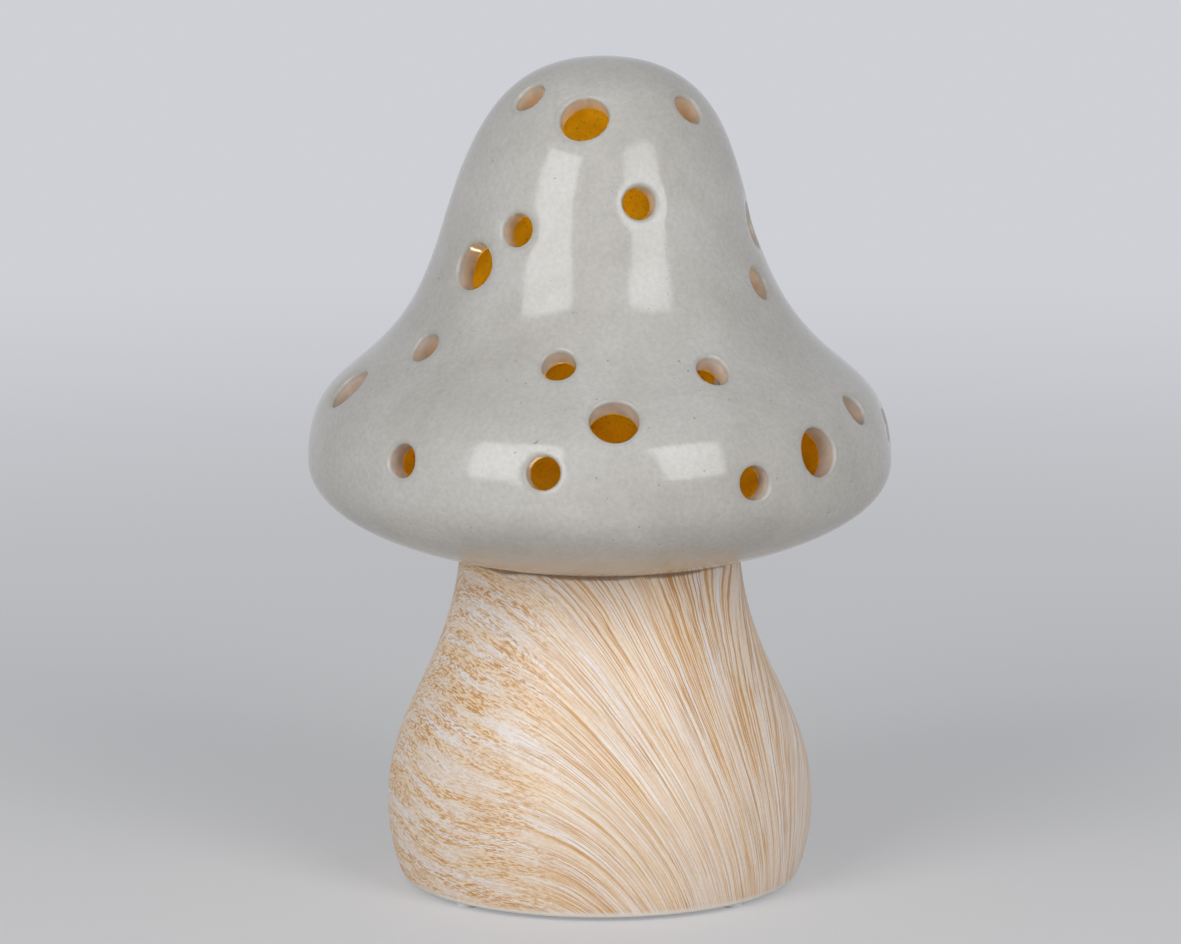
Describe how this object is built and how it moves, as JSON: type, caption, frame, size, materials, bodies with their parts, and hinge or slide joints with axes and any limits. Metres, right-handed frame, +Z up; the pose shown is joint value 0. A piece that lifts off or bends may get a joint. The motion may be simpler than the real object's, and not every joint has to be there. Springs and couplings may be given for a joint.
{
  "type": "mushroom light",
  "caption": "Ceramic mushroom table light: a glazed, pierced lift-off cap on a hollow wood-grained stem, with a battery light unit held in the base.",
  "frame": {"origin": "middle of the footprint, on the surface that the light stands on", "axes": "+Z up through the crown of the cap, -Y towards the front, +X to the right seen from the front"},
  "size_m": [0.1262, 0.1262, 0.18],
  "materials": {
    "cap_glaze": "gloss glaze, gold inside",
    "wood_print": "satin, printed wood grain",
    "white_plastic": "moulded, fine texture",
    "black_plastic": "moulded",
    "soft_ring": "milky silicone",
    "foot_pad": "soft clear bumper",
    "steel": "nickel plated",
    "battery_jacket": "printed film",
    "circuit_board": "solder mask",
    "resistor_body": "lacquered",
    "led_lens": "warm white LED lens",
    "frosted_dome": "frosted, lit from inside",
    "wire_red": "insulation",
    "wire_black": "insulation"
  },
  "bodies": {
    "base": {"stem": "wood_print", "retaining_ring": "soft_ring", "foot_pad_1": "foot_pad", "foot_pad_2": "foot_pad", "foot_pad_3": "foot_pad", "foot_pad_4": "foot_pad", "unit_base": "white_plastic", "unit_housing": "white_plastic", "led_post": "white_plastic", "housing_screw_1": "steel", "housing_screw_2": "steel", "housing_screw_3": "steel", "housing_screw_4": "steel", "battery_1": "battery_jacket", "battery_2": "battery_jacket", "contact_bridge": "steel", "contact_positive": "steel", "contact_negative": "steel", "battery_spring_1": "steel", "battery_spring_2": "steel", "circuit_board": "circuit_board", "timer_chip": "black_plastic", "resistor": "resistor_body", "led": "led_lens", "diffuser": "frosted_dome", "switch_body": "black_plastic", "wire_positive": "wire_red", "wire_negative": "wire_black", "wire_switch_1": "wire_red", "wire_switch_2": "wire_black"},
    "cap": {"cap": "cap_glaze"},
    "battery_door": {"battery_door": "white_plastic", "door_screw": "steel"},
    "switch_knob": {"switch_knob": "black_plastic"}
  },
  "joints": [
    {"name": "cap_lift", "type": "slide", "parent": "base", "child": "cap", "axis": [0, 0, 1], "range_m": [0, 0.04]},
    {"name": "door_swing", "type": "hinge", "parent": "base", "child": "battery_door", "pos_m": [0, -0.0258, 0.0025], "axis": [-1, 0, 0], "range_deg": [0, 50]},
    {"name": "switch_slide", "type": "slide", "parent": "base", "child": "switch_knob", "axis": [0, 1, 0], "range_m": [0, 0.004]}
  ]
}
